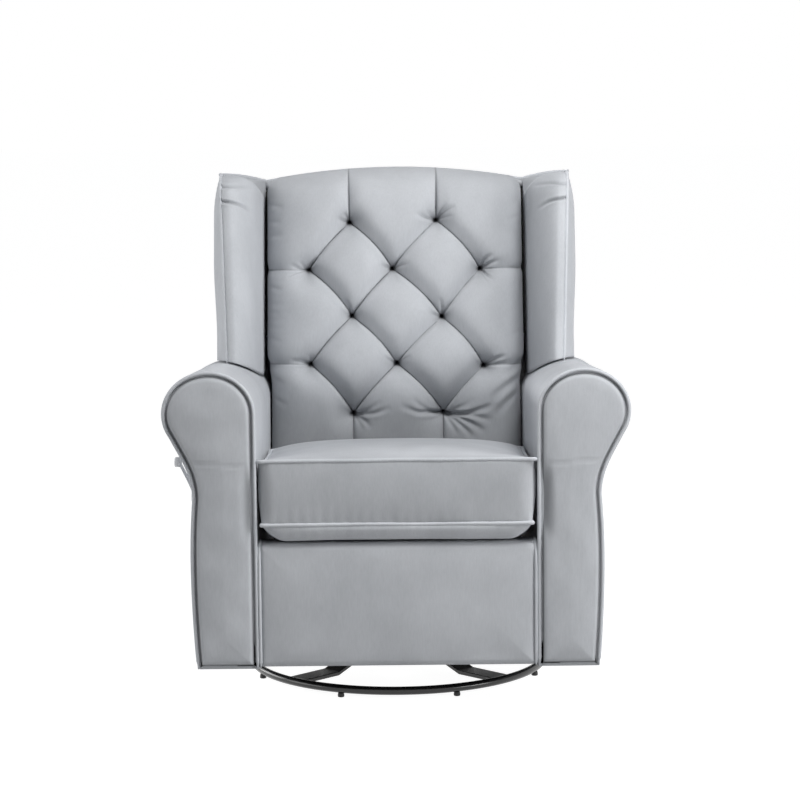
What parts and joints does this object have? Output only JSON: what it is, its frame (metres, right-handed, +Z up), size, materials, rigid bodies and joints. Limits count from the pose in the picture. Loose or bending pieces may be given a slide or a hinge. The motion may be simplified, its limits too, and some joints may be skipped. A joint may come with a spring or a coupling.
{
  "type": "swivel glider recliner",
  "caption": "Upholstered swivel glider recliner with rolled arms, wings, a diamond-tufted back, a loose seat cushion, a folding legrest and a round steel ring base.",
  "frame": {"origin": "centre of the ring base on the floor, on the swivel axis", "axes": "+Z up, the sitter faces -Y, +X is the sitter's left"},
  "size_m": [0.8498, 0.8742, 0.979],
  "materials": {
    "upholstery": "brushed pale grey polyester velvet with a short nap",
    "black_steel": "gloss black powder coat",
    "link_steel": "zinc-plated pressed steel",
    "timber": "plain sawn hardwood and plywood",
    "webbing": "woven elastic webbing",
    "black_plastic": "moulded black plastic, fine texture",
    "grey_plastic": "moulded pale grey plastic, satin"
  },
  "bodies": {
    "base": {"base_ring": "black_steel", "base_cross": "black_steel", "foot_glide_1": "black_plastic", "foot_glide_2": "black_plastic", "foot_glide_3": "black_plastic", "foot_glide_4": "black_plastic", "foot_glide_5": "black_plastic", "foot_glide_6": "black_plastic", "foot_glide_7": "black_plastic", "foot_glide_8": "black_plastic", "swivel_lower_race": "link_steel", "swivel_post": "link_steel"},
    "turntable": {"swivel_upper_race": "link_steel", "glide_base_plate": "black_steel", "glide_tower_left": "black_steel", "glide_tower_right": "black_steel"},
    "front_glide_links": {"glide_link_front_left": "link_steel", "glide_link_front_right": "link_steel"},
    "rear_glide_links": {"glide_link_rear_left": "link_steel", "glide_link_rear_right": "link_steel"},
    "chair": {"glide_hanger_left": "black_steel", "glide_hanger_right": "black_steel", "body_rail_front": "timber", "body_rail_rear": "timber", "rear_skirt": "upholstery", "seat_frame": "timber", "seat_webbing": "webbing", "seat_cushion": "upholstery", "mechanism_plate_left": "black_steel", "mechanism_plate_right": "black_steel", "arm_pad_left": "upholstery", "arm_pad_right": "upholstery", "arm_frame_left": "timber", "arm_frame_right": "timber", "arm_front_left": "upholstery", "arm_front_right": "upholstery", "back_hinge_plate_left": "black_steel", "back_hinge_plate_right": "black_steel", "lever_plate": "grey_plastic"},
    "lever": {"recline_lever": "grey_plastic"},
    "legrest_drive": {"legrest_drive_arms": "black_steel"},
    "legrest_rear_links": {"legrest_rear_link_left": "link_steel", "legrest_rear_link_right": "link_steel"},
    "legrest_lift_links": {"legrest_lift_link_left": "link_steel", "legrest_lift_link_right": "link_steel"},
    "legrest_cross_links": {"legrest_cross_link_left": "link_steel", "legrest_cross_link_right": "link_steel"},
    "legrest_panel": {"legrest_bracket_left": "black_steel", "legrest_bracket_right": "black_steel", "legrest_board": "timber", "legrest_cushion": "upholstery"},
    "legrest_stays": {"legrest_stay_left": "link_steel", "legrest_stay_right": "link_steel"},
    "back": {"back_board": "timber", "back_cushion": "upholstery", "wing_left": "upholstery", "wing_right": "upholstery", "outside_back": "upholstery", "back_hinge_bracket_left": "black_steel", "back_hinge_bracket_right": "black_steel"}
  },
  "joints": [
    {"name": "swivel", "type": "hinge", "parent": "base", "child": "turntable", "pos_m": [0, 0, 0.05], "axis": [0, 0, 1], "continuous": true},
    {"name": "glide", "type": "hinge", "parent": "turntable", "child": "front_glide_links", "pos_m": [0, -0.105, 0.2], "axis": [-1, 0, 0], "range_deg": [-20, 20]},
    {"name": "glide_chair", "type": "hinge", "parent": "front_glide_links", "child": "chair", "pos_m": [0, -0.105, 0.09], "axis": [-1, 0, 0], "range_deg": [-20.1, 20.1]},
    {"name": "glide_rear", "type": "hinge", "parent": "turntable", "child": "rear_glide_links", "pos_m": [0, 0.105, 0.2], "axis": [-1, 0, 0], "range_deg": [-20.1, 20.1]},
    {"name": "legrest", "type": "hinge", "parent": "chair", "child": "legrest_drive", "pos_m": [0, -0.238, 0.296], "axis": [-1, 0, 0], "range_deg": [0, 66]},
    {"name": "legrest_rear", "type": "hinge", "parent": "legrest_drive", "child": "legrest_rear_links", "pos_m": [0, -0.24958, 0.20171], "axis": [-1, 0, 0], "range_deg": [-100.1, 0]},
    {"name": "legrest_lift", "type": "hinge", "parent": "legrest_drive", "child": "legrest_lift_links", "pos_m": [0, -0.26116, 0.10742], "axis": [-1, 0, 0], "range_deg": [-100.1, 0]},
    {"name": "legrest_cross", "type": "hinge", "parent": "legrest_rear_links", "child": "legrest_cross_links", "pos_m": [0, -0.2867, 0.28916], "axis": [-1, 0, 0], "range_deg": [0, 100.1]},
    {"name": "legrest_pad", "type": "hinge", "parent": "legrest_lift_links", "child": "legrest_panel", "pos_m": [0, -0.33539, 0.28231], "axis": [-1, 0, 0], "range_deg": [0, 124.1]},
    {"name": "legrest_stay", "type": "hinge", "parent": "legrest_panel", "child": "legrest_stays", "pos_m": [0, -0.34429, 0.23361], "axis": [-1, 0, 0], "range_deg": [-110.8, 0]},
    {"name": "recline", "type": "hinge", "parent": "chair", "child": "back", "pos_m": [0, 0.21, 0.3], "axis": [-1, 0, 0], "range_deg": [0, 25]},
    {"name": "lever", "type": "hinge", "parent": "chair", "child": "lever", "pos_m": [-0.39, -0.235, 0.385], "axis": [-1, 0, 0], "range_deg": [0, 20], "stiffness_Nm_per_rad": 2}
  ],
  "couplings": [
    {"joint": "glide_chair", "follows": "glide", "ratio": -1},
    {"joint": "glide_rear", "follows": "glide", "ratio": 1},
    {"joint": "legrest_rear", "follows": "legrest", "ratio": -1.5152},
    {"joint": "legrest_lift", "follows": "legrest", "ratio": -1.5152},
    {"joint": "legrest_cross", "follows": "legrest", "ratio": 1.5152},
    {"joint": "legrest_pad", "follows": "legrest", "ratio": 1.8788},
    {"joint": "legrest_stay", "follows": "legrest", "ratio": -1.678}
  ]
}
